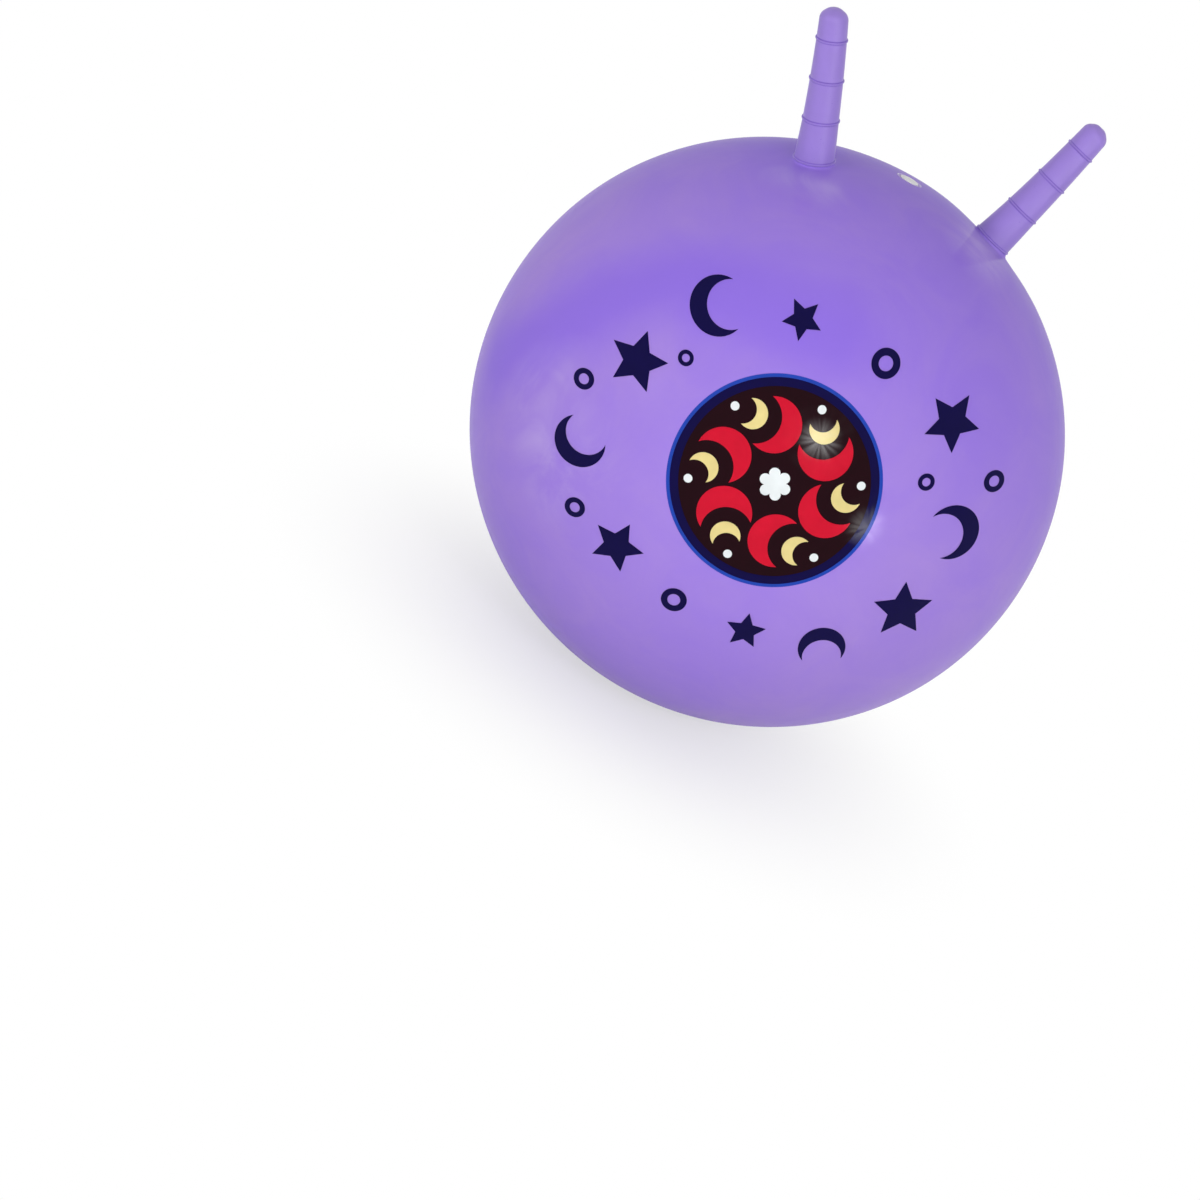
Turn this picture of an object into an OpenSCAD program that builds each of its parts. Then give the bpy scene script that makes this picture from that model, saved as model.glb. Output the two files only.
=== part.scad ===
// Hopper ball: a soft PVC ball with two ribbed horns to hold, an air valve between them and a print
// on its front. Millimetres, +Z up, origin at the centre of the patch that rests on the floor.

/* [Ball] */
// Diameter across the widest part of the inflated ball
ball_d = 450; // [380:1:560]
// Height of the free ball as a share of its diameter
ball_height_share = 0.9825; // [0.96:0.0025:0.99]
// Wall of the moulded skin
skin_wall = 1.2; // [0.9:0.1:2]
// Depth by which the bottom is pressed flat on the floor
floor_press = 2.5; // [1:0.1:4]

/* [Horns] */
// Angle from the crown to the foot of each horn, in degrees
horn_place = 20.8; // [19:0.1:24]
// Angle of each horn away from the upright, in degrees
horn_splay = 18.8; // [14:0.1:22]
// Angle by which both horns lean to the left, in degrees
horn_lean = 3.5; // [0:0.5:4]
// Number of ribs above the base rib
rib_count = 3; // [2:1:4]
// Distance from rib to rib
rib_pitch = 30.4; // [27:0.1:34]
// Radius of the horn's wall at its base rib
horn_base_r = 14.9; // [13.8:0.1:16]
// Radius of the horn's wall at the first rib above
horn_low_r = 13.2; // [12.2:0.1:13.7]
// Radius of the horn's wall at its shoulder
horn_top_r = 10.4; // [9.4:0.1:11.4]
// Distance from the last rib to the shoulder
shoulder_rise = 17.8; // [12:0.1:26]
// Height of the cone above the shoulder
tip_rise = 4.4; // [3:0.1:7]
// Radius of the blunt end of the cone
tip_r = 4.6; // [3:0.1:6]
// Radius of a rib's round bead
bead_r = 0.95; // [0.7:0.05:1.3]
// Wall of a horn and its neck
horn_wall = 2.4; // [1.6:0.1:3]

/* [Necks] */
// Height of the base rib over the round of the ball
base_rib_lift = 1.2; // [1:0.1:2]
// Depth by which the skin is drawn in around a horn
pad_press = 1.4; // [1:0.1:2.4]
// Radius of the flatter skin around a horn
pad_r = 700; // [560:10:1100]
// Radius of the fillet from the neck to the skin
flare_r = 3; // [2.4:0.1:4]
// Radius of the round joint between a neck and its horn
flex_r = 24; // [23.5:0.1:26]
// Gap between a neck and its horn
flex_gap = 0.3; // [0.2:0.05:0.5]

/* [Valve] */
// Angle from the crown back to the valve, in degrees
valve_back = 2.4; // [0:0.1:4]
// Radius of the plug's head
plug_head_r = 7.5; // [6.8:0.1:7.8]
// Thickness of the plug's head at its rim
plug_head_t = 2.8; // [1.6:0.1:3.4]
// Rise of the head's round top over its rim
plug_dome = 1.1; // [0.4:0.1:1.5]
// Radius of the bore that holds the plug
valve_bore_r = 3.75; // [3:0.05:4.2]
// Clearance of the plug in its bore
plug_clear = 0.05; // [0.03:0.01:0.1]
// Length of the plug below its head
plug_len = 14; // [11:0.5:18]
// Number of holding rings on the plug
plug_rings = 3; // [2:1:4]
// Radius of the pocket at the skin
pocket_r = 9.6; // [9:0.1:10.5]
// Depth of the pocket
pocket_depth = 2.8; // [2.4:0.1:3.4]
// Radius of the seat where it passes through the skin
seat_r = 10.4; // [10.1:0.1:12]
// Radius of the seat's flange inside the ball
flange_r = 15; // [13:0.1:18]
// Thickness of the seat's flange
flange_t = 3; // [2.6:0.1:3.6]
// Depth of the seat's boss below the pocket
boss_depth = 10; // [8:0.5:12]

/* [Print] */
// Width of the printed field
print_w = 306; // [280:1:320]
// Height of the printed field
print_h = 244; // [225:1:250]
// Angle by which the print's centre lies above the widest part, in degrees
print_lift = 10; // [0:0.5:14]
// Angle by which the print's centre lies to the left of the front, in degrees
print_turn = 19; // [0:0.5:24]
// Radius of the pinwheel's dark disc
wheel_r = 68; // [56:1:70]
// Number of blades in the pinwheel
blade_count = 6; // [4:1:6]
// Width of the navy ring around the disc
rim_w = 5; // [3:0.5:6]
// Width of the blue ring around the navy one
trim_w = 2.5; // [1.5:0.5:4]
// Radius of the white flower at the hub
hub_r = 11.5; // [8:0.5:14]
// Number of petals of the flower
petal_count = 6; // [5:1:8]
// Thickness of an ink layer
ink_t = 0.15; // [0.1:0.05:0.3]

/* [Hidden] */
purple = [0.57, 0.46, 0.82];
overrun = ball_d;

// The ball's round: a sphere between two flatter crowns
ball_r = ball_d / 2;
crown_h = ball_r * ball_height_share;
crown_r = ball_r / ball_height_share;
crown_drop = crown_r - crown_h;
centre_z = crown_h - floor_press;

// The foot of a horn stands on the flatter crown
function crown_at(a) = sqrt(pow(crown_r, 2) - pow(crown_drop * sin(a), 2)) - crown_drop * cos(a);
root_r = crown_at(horn_place) + base_rib_lift;
foot_drop = base_rib_lift + pad_press;

// Horn outline, from the base rib up
rib_sink = bead_r * 0.1;
shoulder_z = rib_count * rib_pitch + shoulder_rise;
tip_z = shoulder_z + tip_rise;
tip_dome = tip_r * 0.12;
tip_dome_r = (pow(tip_r, 2) + pow(tip_dome, 2)) / (2 * tip_dome);
flex_z = bead_r * 5 - sqrt(pow(flex_r, 2) - pow(horn_base_r, 2));

// Neck outline, from the base rib down
flare_z = -bead_r * 0.4;
// Angle through which the fillet turns, and the slope of the skirt that runs on into the skin
flare_end = 68;
neck_slope = 90 - flare_end + 4;
neck_foot_r = horn_base_r + flare_r * 3.4;
neck_steps = 10;

// Valve sizes that follow from the ones above
pocket_floor_r = plug_head_r + bead_r * 0.6;
head_gap = plug_clear * 2;
ring_t = plug_len * 0.09;
plug_taper_share = 0.8;
ringed_share = 0.75;
plug_core_r = (valve_bore_r - plug_clear) * 0.82;
plug_tip_r = plug_core_r * 0.7;
glue_gap = plug_clear;

// Inks stand a little off the skin and off each other
ink_lift = ink_t / 3;
ink_gap = ink_t * 2;

// Pinwheel: places and radii as shares of the disc's radius, along and across a blade's ray
blade_at_share = [0.6, 0];
blade_r_share = 0.285;
blade_cut_share = [0.085, 0.185];
blade_bore_share = 0.94;
seed_at_share = [0.715, 0.215];
seed_r_share = 0.155;
seed_cut_share = [0.045, 0.1];
seed_bore_share = 0.92;
dot_at_share = 0.885;
dot_turn_share = 0.44;
dot_r_share = 0.045;

// Flower: places and radii as shares of its radius
petal_at_share = 0.66;
petal_r_share = 0.34;
petal_core_share = 0.55;

// Scattered motifs: place as shares of the field's half width and half height, size as a share of the half
// height, and turn in degrees
star_shares = [
    [-0.80, 0.20, 0.175, 10], [0.60, 0.76, 0.175, -8], [0.84, -0.34, 0.185, 24],
    [-0.47, -0.80, 0.16, 0], [0.24, -0.87, 0.12, 18], [-0.24, 0.87, 0.12, -20]];
moon_shares = [
    [-0.60, 0.70, 0.165, 35], [0.86, 0.20, 0.165, -140], [-0.85, -0.38, 0.15, 80], [0.60, -0.76, 0.14, -60]];
ring_shares = [
    [0.19, 0.88, 0.085, 0], [-0.97, -0.06, 0.06, 0], [0.93, 0.56, 0.065, 0], [-0.12, -0.91, 0.075, 0],
    [-0.72, -0.74, 0.06, 0], [0.62, 0.40, 0.05, 0], [-0.62, 0.36, 0.045, 0]];
star_waist_share = 0.48;
moon_bite_share = [0.42, 0.82];
ring_bore_share = 0.5;

$fn = 120;

// A ball whose surface lies inset inside the true one
module round_of_ball(inset) {
    intersection() {
        sphere(r = ball_r - inset, $fn = 240);
        intersection_for(side = [-1, 1])
            translate([0, 0, side * crown_drop]) sphere(r = crown_r - inset, $fn = 240);
        translate([0, 0, inset + overrun / 2 - crown_h + floor_press]) cube(overrun, center = true);
        intersection_for(side = [-1, 1]) pad_round(side, inset);
    }
}

// The flatter skin around one horn, as a great sphere that passes under its foot
module pad_round(side, inset) {
    rotate([0, side * horn_place, 0])
        translate([0, 0, root_r - foot_drop - pad_r]) sphere(r = pad_r - inset, $fn = 240);
}

// Puts a child on the axis of one horn, with zero at its base rib
module on_horn(side) {
    translate([0, 0, centre_z]) rotate([0, side * horn_place, 0]) translate([0, 0, root_r])
        rotate([0, side * (horn_splay - horn_place) - horn_lean, 0]) children();
}

// Radius of the horn's wall at a height over the base rib
function horn_r(z) = z < rib_pitch
    ? horn_base_r + (horn_low_r - horn_base_r) * z / rib_pitch
    : horn_low_r + (horn_top_r - horn_low_r) * (z - rib_pitch) / (shoulder_z - rib_pitch);

// Half outline of the horn's outer or inner side, down to a foot below the base rib
module horn_side(inset) {
    polygon([[0, -horn_base_r], [horn_base_r - inset, -horn_base_r], [horn_base_r - inset, 0],
        [horn_low_r - inset, rib_pitch], [horn_top_r - inset, shoulder_z - inset / 2],
        [tip_r - inset / 2, tip_z - inset], [0, tip_z - inset]]);
}

module bead(z) {
    translate([horn_r(z) - rib_sink, z]) circle(r = bead_r, $fn = 32);
}

// The slightly domed end above the cone
module tip_cap() {
    intersection() {
        translate([0, tip_z + tip_dome - tip_dome_r]) circle(r = tip_dome_r);
        translate([0, tip_z - tip_dome]) square([tip_r, tip_dome * 3]);
    }
}

module horn(side) {
    on_horn(side) rotate_extrude() difference() {
        union() {
            horn_side(0);
            tip_cap();
            for (i = [1 : rib_count]) bead(i * rib_pitch);
        }
        horn_side(horn_wall);
        translate([0, flex_z]) circle(r = flex_r + flex_gap);
        translate([0, flex_z - overrun]) square([overrun, overrun]);
    }
}

// Half outline of a neck: the horn's wall down to the base rib, then flared down into the skin
function flare_points(r) = [for (i = [0 : neck_steps]) let (a = flare_end * i / neck_steps)
    [horn_base_r + flare_r - r * cos(a), flare_z - r * sin(a)]];
module neck_side(inset) {
    foot = flare_points(flare_r + inset)[neck_steps];
    foot_r = neck_foot_r + inset;
    foot_z = foot[1] - (foot_r - foot[0]) * tan(neck_slope);
    polygon(concat([[0, rib_pitch], [horn_low_r - inset, rib_pitch], [horn_base_r - inset, 0]],
        flare_points(flare_r + inset),
        [[foot_r, foot_z], [foot_r, foot_z - flare_r], [0, foot_z - flare_r]]));
}

module neck_body(side) {
    on_horn(side) rotate_extrude() intersection() {
        union() {
            neck_side(0);
            bead(0);
        }
        union() {
            translate([0, flex_z]) circle(r = flex_r);
            translate([0, -bead_r - overrun]) square([overrun, overrun]);
        }
        translate([0, -overrun]) square([overrun, overrun * 2]);
    }
}

module neck_bore(side) {
    on_horn(side) rotate_extrude() neck_side(horn_wall);
}

module ball_skin() color(purple) {
    difference() {
        union() {
            translate([0, 0, centre_z]) round_of_ball(0);
            for (side = [-1, 1]) neck_body(side);
        }
        translate([0, 0, centre_z]) round_of_ball(skin_wall);
        for (side = [-1, 1]) neck_bore(side);
        at_valve() translate([0, 0, centre_z]) cylinder(r = seat_r, h = overrun, $fn = 96);
    }
}

module left_horn() color(purple) horn(-1);
module right_horn() color(purple) horn(1);

// Turns a child that stands on the crown's axis back to the valve's place
module at_valve() {
    translate([0, 0, centre_z - crown_drop]) rotate([-valve_back, 0, 0]) translate([0, 0, crown_drop - centre_z])
        children();
}

// Height of the crown's surface, or of one inset inside it, at a distance from the axis
function crown_z(r, inset) = centre_z - crown_drop + sqrt(pow(crown_r - inset, 2) - pow(r, 2));
crown_top_z = crown_z(0, 0);
pocket_z = crown_z(pocket_r, 0) - pocket_depth;
flange_z = crown_z(flange_r, skin_wall) - glue_gap;
boss_r = (seat_r + valve_bore_r) / 2;

// Thick insert in the crown, with a pocket for the plug's head and a bore for its shank
module valve_seat() color(purple) {
    at_valve() rotate_extrude() difference() {
        union() {
            intersection() {
                translate([0, flange_z - flange_t]) square([seat_r, overrun]);
                translate([0, centre_z - crown_drop]) circle(r = crown_r, $fn = 720);
            }
            translate([0, flange_z - flange_t]) square([flange_r, flange_t]);
            translate([0, pocket_z - boss_depth]) square([boss_r, boss_depth]);
        }
        polygon([[0, pocket_z], [pocket_floor_r, pocket_z], [pocket_r, crown_z(pocket_r, 0)],
            [pocket_r, crown_top_z + pocket_depth], [0, crown_top_z + pocket_depth]]);
        translate([0, pocket_z - boss_depth * 2]) square([valve_bore_r, boss_depth * 3]);
        translate([-overrun, 0]) square([overrun, overrun * 2]);
    }
}

// Head, ringed shank and tapered tip
head_dome_r = (pow(plug_head_r, 2) + pow(plug_dome, 2)) / (2 * plug_dome);
module plug_ring(z) {
    translate([0, z]) square([valve_bore_r - plug_clear, ring_t]);
}

module valve_plug() color([0.9, 0.9, 0.93]) {
    head_z = pocket_z + head_gap;
    taper_z = head_z - plug_len * plug_taper_share;
    at_valve() rotate_extrude() {
        intersection() {
            translate([0, head_z + plug_head_t + plug_dome - head_dome_r]) circle(r = head_dome_r, $fn = 240);
            translate([0, head_z]) square([plug_head_r, plug_head_t + plug_dome]);
        }
        translate([0, taper_z]) square([plug_core_r, head_z - taper_z + plug_head_t / 2]);
        polygon([[0, head_z - plug_len], [plug_tip_r, head_z - plug_len], [plug_core_r, taper_z], [0, taper_z]]);
        for (i = [1 : plug_rings]) plug_ring(head_z - plug_len * ringed_share * i / plug_rings);
    }
}

// Ink on the skin: a flat motif thrown onto the ball's front
module ink() {
    intersection() {
        translate([0, 0, centre_z]) difference() {
            round_of_ball(-ink_lift - ink_t);
            round_of_ball(-ink_lift);
        }
        translate([0, 0, centre_z]) rotate([0, 0, -print_turn]) rotate([90 - print_lift, 0, 0])
            linear_extrude(overrun) children();
    }
}

module at_shares(list) {
    for (p = list) translate([p[0] * print_w / 2, p[1] * print_h / 2]) rotate(p[3]) scaled_motif(p[2] * print_h / 2)
        children();
}
module scaled_motif(size) scale(size) children();

module star() {
    polygon([for (i = [0 : 9]) (i % 2 == 0 ? 1 : star_waist_share) * [sin(36 * i), cos(36 * i)]]);
}
module moon() {
    difference() {
        circle(r = 1, $fn = 64);
        translate([moon_bite_share[0], 0]) circle(r = moon_bite_share[1], $fn = 64);
    }
}
module hoop() {
    difference() {
        circle(r = 1, $fn = 64);
        circle(r = ring_bore_share, $fn = 64);
    }
}

// A sickle at a place on the disc, bitten by a smaller circle, and grown all round by a gap
module sickle(at, r, cut, bore, grow) {
    translate(at * wheel_r) difference() {
        circle(r = r * wheel_r + grow, $fn = 64);
        translate(cut * wheel_r) circle(r = r * bore * wheel_r - grow, $fn = 64);
    }
}
module around(count, turn = 0) {
    for (i = [0 : count - 1]) rotate(360 * (i + turn) / count) children();
}
module blades(grow) {
    around(blade_count) sickle(blade_at_share, blade_r_share, blade_cut_share, blade_bore_share, grow);
}
module seeds(grow) {
    around(blade_count) sickle(seed_at_share, seed_r_share, seed_cut_share, seed_bore_share, grow);
}
module dots(grow) {
    around(blade_count, dot_turn_share)
        translate([dot_at_share * wheel_r, 0]) circle(r = dot_r_share * wheel_r + grow, $fn = 48);
}
module flower(grow) {
    circle(r = petal_core_share * hub_r + grow, $fn = 48);
    around(petal_count) translate([petal_at_share * hub_r, 0]) circle(r = petal_r_share * hub_r + grow, $fn = 48);
}
module annulus(inner, outer) {
    difference() {
        circle(r = outer);
        circle(r = inner);
    }
}

module print_navy() color([0.09, 0.07, 0.25]) ink() {
    annulus(wheel_r + ink_gap, wheel_r + rim_w);
    at_shares(star_shares) star();
    at_shares(moon_shares) moon();
    at_shares(ring_shares) hoop();
}
module print_maroon() color([0.14, 0.03, 0.07]) ink() difference() {
    circle(r = wheel_r);
    blades(ink_gap);
    seeds(ink_gap);
    dots(ink_gap);
    flower(ink_gap);
}
module print_red() color([0.78, 0.06, 0.18]) ink() blades(0);
module print_cream() color([0.86, 0.8, 0.53]) ink() seeds(0);
module print_white() color([0.87, 0.9, 0.9]) ink() {
    dots(0);
    flower(0);
}
module print_blue() color([0.11, 0.25, 0.69]) ink() annulus(wheel_r + rim_w + ink_gap, wheel_r + rim_w + trim_w);

ball_skin();
left_horn();
right_horn();
valve_seat();
valve_plug();
print_navy();
print_maroon();
print_red();
print_cream();
print_white();
print_blue();
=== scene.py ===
import math

import bmesh
import bpy
import numpy as np
from bpy.props import FloatProperty, FloatVectorProperty, IntProperty, PointerProperty
from mathutils import Matrix, Vector


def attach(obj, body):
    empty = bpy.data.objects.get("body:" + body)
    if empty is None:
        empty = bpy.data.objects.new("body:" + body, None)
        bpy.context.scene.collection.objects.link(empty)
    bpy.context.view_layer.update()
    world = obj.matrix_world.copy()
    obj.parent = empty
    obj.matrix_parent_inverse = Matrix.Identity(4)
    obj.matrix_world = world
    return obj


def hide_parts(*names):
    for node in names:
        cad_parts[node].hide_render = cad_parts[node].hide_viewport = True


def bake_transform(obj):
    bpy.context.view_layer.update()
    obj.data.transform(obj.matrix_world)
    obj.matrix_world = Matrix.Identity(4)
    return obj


bl_info = {
    "name": "Hopper ball",
    "version": (1, 0, 0),
    "blender": (4, 5, 0),
    "location": "3D View > Sidebar > Hopper ball",
    "description": "Dresses a hopper ball: soft skin, ribbed horns, air valve, printed front, plain studio",
    "category": "Add Mesh",
}

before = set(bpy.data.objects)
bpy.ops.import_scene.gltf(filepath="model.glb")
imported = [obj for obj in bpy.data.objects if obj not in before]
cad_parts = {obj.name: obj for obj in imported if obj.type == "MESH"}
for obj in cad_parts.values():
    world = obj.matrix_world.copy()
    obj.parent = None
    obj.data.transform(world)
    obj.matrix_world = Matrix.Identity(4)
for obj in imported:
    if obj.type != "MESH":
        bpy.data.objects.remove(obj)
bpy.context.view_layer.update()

MM = 0.001
LEFT, RIGHT = -1, 1

SKIN_POINTS = 288  # around the ball's skin
ROUND_POINTS = 96  # around a turned piece
MERGE = 1e-6  # distance below which two points become one
INK_MERGE = 2e-5  # the same in the print
THROW_STEPS = 12  # in which a point is brought onto the skin
LEAST_FALL = 1e-3  # of a way from the centre that still meets the floor
SEAT_DEPTH = 0.06  # below a seat, down to which the skin around it is its own


def length(name, description, default):
    return FloatProperty(name=name, description=description, default=default, unit="LENGTH", precision=5)


def angle(name, description, degrees):
    return FloatProperty(name=name, description=description, default=math.radians(degrees), subtype="ANGLE")


def number(name, description, default):
    return FloatProperty(name=name, description=description, default=default)


def count(name, description, default):
    return IntProperty(name=name, description=description, default=default, min=1)


def colour(name, description, default):
    return FloatVectorProperty(name=name, description=description, default=default, subtype="COLOR", size=3,
                               min=0, max=1)


class HopperBallSkin(bpy.types.PropertyGroup):
    """Sizes of the ball's skin"""

    width: length("Width", "Diameter across the widest part", 0.45)
    height_share: number("Height share", "Height of the free ball as a share of its width", 0.9825)
    floor_press: length("Floor press", "Depth by which the bottom is pressed flat", 0.0025)
    pad_press: length("Pad press", "Depth by which the skin is drawn in around a horn", 0.0014)
    pad_radius: length("Pad radius", "Radius of the flatter skin around a horn", 0.7)
    ease: length("Ease", "Softness of the change from one round to the next", 0.0012)
    foot_ease: length("Foot ease", "Softness of the fold where the skin meets a neck or the floor", 0.0012)


class HopperBallHorn(bpy.types.PropertyGroup):
    """Sizes of the horns"""

    place: angle("Place", "Angle from the crown to the foot of a horn", 20.8)
    splay: angle("Splay", "Angle of each horn away from the upright", 18.8)
    lean: angle("Lean", "Angle by which both horns lean to the left", 3.5)
    lift: length("Lift", "Height of the base rib over the round of the ball", 0.0012)
    rib_count: count("Ribs", "Number of ribs above the base rib", 3)
    rib_pitch: length("Rib pitch", "Distance from rib to rib", 0.0304)
    base_radius: length("Base radius", "Radius of the wall at the base rib", 0.0149)
    low_radius: length("Low radius", "Radius of the wall at the first rib above", 0.0132)
    top_radius: length("Top radius", "Radius of the wall at the shoulder", 0.0104)
    shoulder_rise: length("Shoulder rise", "Distance from the last rib to the shoulder", 0.0178)
    tip_rise: length("Tip rise", "Height of the cone above the shoulder", 0.0044)
    tip_radius: length("Tip radius", "Radius of the blunt end of the cone", 0.0048)
    bead_radius: length("Bead radius", "Radius of a rib's round bead", 0.00095)
    flare_radius: length("Flare radius", "Radius of the fillet from the neck to the skin", 0.0055)
    flare_start: angle("Flare start", "Turn at which the fillet leaves the base rib", 10)
    flare_turn: angle("Flare end", "Turn at which the fillet runs out into the skirt", 72)
    skirt_slope: angle("Skirt slope", "Slope of the neck's skirt below the fillet", 18)
    bow: number("Bow", "Curve of a horn, as one over its radius in metres", 0.66)
    bow_back: length("Bow back", "Height at which the bowed horn is back on its straight line", 0.087)


class HopperBallValve(bpy.types.PropertyGroup):
    """Sizes of the valve"""

    back: angle("Back", "Angle from the crown back to the valve", 2.4)
    head_radius: length("Head radius", "Radius of the plug's head", 0.0075)
    head_thickness: length("Head thickness", "Thickness of the head at its rim", 0.0028)
    dome: length("Dome", "Rise of the head's round top", 0.0011)
    plug_length: length("Plug length", "Length of the plug below its head", 0.014)
    ring_count: count("Rings", "Number of holding rings on the plug", 3)
    bore_radius: length("Bore radius", "Radius of the bore that holds the plug", 0.00375)
    pocket_radius: length("Pocket radius", "Radius of the pocket at the skin", 0.0096)
    pocket_floor: length("Pocket floor", "Depth of the pocket's floor below the crown", 0.003)
    seat_radius: length("Seat radius", "Radius of the seat where it passes through the skin", 0.0104)
    flange_radius: length("Flange radius", "Radius of the seat's flange inside the ball", 0.015)
    flange_thickness: length("Flange thickness", "Thickness of the seat's flange", 0.003)
    boss_depth: length("Boss depth", "Depth of the seat's boss below the pocket", 0.01)


class HopperBallPrint(bpy.types.PropertyGroup):
    """Sizes of the print"""

    width: length("Width", "Width of the printed field", 0.306)
    height: length("Height", "Height of the printed field", 0.244)
    lift: angle("Lift", "Angle by which the print's centre lies above the widest part", 10)
    turn: angle("Turn", "Angle by which the print's centre lies to the left of the front", 19)
    wheel_radius: length("Wheel radius", "Radius of the pinwheel's dark disc", 0.068)
    blade_count: count("Blades", "Number of blades in the pinwheel", 6)
    rim: length("Rim", "Width of the navy ring around the disc", 0.005)
    trim: length("Trim", "Width of the blue ring around the navy one", 0.0025)
    hub_radius: length("Hub radius", "Radius of the white flower at the hub", 0.0115)
    petal_count: count("Petals", "Number of petals of the flower", 6)
    ink: length("Ink", "Thickness of an ink layer", 0.0001)


class HopperBallFinish(bpy.types.PropertyGroup):
    """Colours of the pieces"""

    purple: colour("Purple", "Soft PVC of the ball", (0.364, 0.236, 0.645))
    # Deep purple: the darker cloudy tone of the PVC, deeper towards the crown, and painted shade in the dark
    # reflection over the upper left.
    purple_deep: colour("Deep purple", "Thicker places of the soft PVC", (0.256, 0.146, 0.690))
    # Painted light: this colour is the pale haze painted at the left of the ball and the highlights painted
    # at the foot of each horn.
    purple_painted_light: colour("Milky purple", "Milky clouds in the soft PVC", (0.62, 0.53, 0.80))
    horn_purple: colour("Horn purple", "Satin PVC of the horns", (0.298, 0.200, 0.600))
    # Painted shade in the horns' creases and over the whole valve seat, and the colour of the horns' specks.
    shade_and_speck_purple: colour("Crease purple", "Creases by the beads, and the valve seat", (0.160, 0.082, 0.480))
    plug_white: colour("Plug white", "Moulded polyethylene of the plug", (0.80, 0.80, 0.80))
    navy: colour("Navy", "Dark blue ink", (0.0030, 0.0010, 0.048))
    maroon: colour("Maroon", "Near-black red ink", (0.0120, 0.0005, 0.0030))
    red: colour("Red", "Red ink", (0.560, 0.0060, 0.0260))
    cream: colour("Cream", "Cream ink", (0.710, 0.590, 0.245))
    white: colour("White", "White ink", (0.730, 0.770, 0.780))
    blue: colour("Blue", "Blue ink", (0.0150, 0.055, 0.400))


class HopperBallSizes(bpy.types.PropertyGroup):
    """All that a user may change"""

    skin: PointerProperty(type=HopperBallSkin)
    horn: PointerProperty(type=HopperBallHorn)
    valve: PointerProperty(type=HopperBallValve)
    print: PointerProperty(type=HopperBallPrint)
    finish: PointerProperty(type=HopperBallFinish)


# Shapes that several pieces share


class SkinShape:
    """The ball's outer surface, as its distance from the centre in any direction."""

    def __init__(self, sizes):
        skin, horn = sizes.skin, sizes.horn
        half = skin.width / 2
        self.half = half
        self.crown_r = half / skin.height_share
        self.drop = self.crown_r - half * skin.height_share
        self.centre = np.array([0, 0, half * skin.height_share - skin.floor_press])
        self.ease, self.foot_ease = skin.ease, skin.foot_ease
        sink = self.drop * math.sin(horn.place)
        self.root = math.sqrt(self.crown_r ** 2 - sink ** 2) - self.drop * math.cos(horn.place) + horn.lift
        pad_top = self.root - horn.lift - skin.pad_press
        self.rounds = [(np.array([0, 0, z]), self.crown_r) for z in (-self.drop, self.drop)]
        for side in (LEFT, RIGHT):
            way = np.array([side * math.sin(horn.place), 0, math.cos(horn.place)])
            self.rounds.append((way * (pad_top - skin.pad_radius), skin.pad_radius))

    def reach(self, ways):
        """Distance from the centre to the skin along each unit vector."""
        found = [np.full(len(ways), self.half)]
        for middle, radius in self.rounds:
            along = ways @ middle
            found.append(along + np.sqrt(along ** 2 - middle @ middle + radius ** 2))
        free = soft_min(np.array(found), self.ease)
        floor = self.centre[2] / np.maximum(-ways[:, 2], LEAST_FALL)
        return soft_min(np.array([free, floor]), self.foot_ease)

    def height(self, points, way):
        """How far each point stands over the skin, near enough along a way that leaves it steeply."""
        rays = points - self.centre
        far = np.linalg.norm(rays, axis=1)
        units = rays / far[:, None]
        return (far - self.reach(units)) / (units @ way)

    def throw(self, points, way, lift=0.0):
        """Moves points along a way until they lie on the skin, or a lift above it."""
        points = np.array(points, float)
        way = np.array(way, float)
        for _ in range(THROW_STEPS):
            points = points - self.height(points, way)[:, None] * way
        rays = points - self.centre
        return points + lift * rays / np.linalg.norm(rays, axis=1)[:, None]

    def drape(self, points):
        """Moves points in or out to the skin."""
        rays = np.array(points, float) - self.centre
        units = rays / np.linalg.norm(rays, axis=1)[:, None]
        return self.centre + units * self.reach(units)[:, None]

    def horn_seat(self, side, horn):
        """The place of a horn: its base rib at zero and its axis along Z."""
        tilt = side * horn.splay - horn.lean
        foot = side * horn.place
        origin = self.centre + self.root * np.array([math.sin(foot), 0, math.cos(foot)])
        return Matrix.Translation(Vector(origin)) @ Matrix.Rotation(tilt, 4, "Y")

    def valve_seat(self, valve):
        """The place of the valve: the skin at zero and its axis along Z."""
        middle = Matrix.Translation((0, 0, self.centre[2] - self.drop))
        return middle @ Matrix.Rotation(-valve.back, 4, "X") @ Matrix.Translation((0, 0, self.crown_r))

    def ring(self, seat, radius, height=None, floor=None):
        """A place for each point on a ring around a seat's axis, at its own turn.

        The ring lies at a height, or else on the skin, and there it stays over a soft floor if it has one.
        """
        axes, origin = np.array(seat.to_3x3()), np.array(seat.translation)

        def place(points):
            local = (points - origin) @ axes
            turn = np.arctan2(local[:, 1], local[:, 0])
            flat = np.stack([radius * np.cos(turn), radius * np.sin(turn), 0 * turn], 1) @ axes.T + origin
            if height is not None:
                return flat + height * axes[:, 2]
            rise = (self.throw(flat, axes[:, 2]) - flat) @ axes[:, 2]
            if floor is not None:
                rise = soft_max(rise, np.full(len(flat), floor), self.foot_ease)
            return flat + rise[:, None] * axes[:, 2]
        return place


def soft_min(values, ease):
    low = values.min(0)
    return low - ease * np.log(np.exp(-(values - low) / ease).sum(0))


def soft_max(a, b, ease):
    return -soft_min(np.array([-a, -b]), ease)


def arc(middle, radius, start, stop, steps):
    """Points of a circle in the plane of distance and height, with angles in degrees."""
    turns = [math.radians(start + (stop - start) * i / steps) for i in range(steps + 1)]
    return [(middle[0] + radius * math.cos(a), middle[1] + radius * math.sin(a)) for a in turns]


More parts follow.
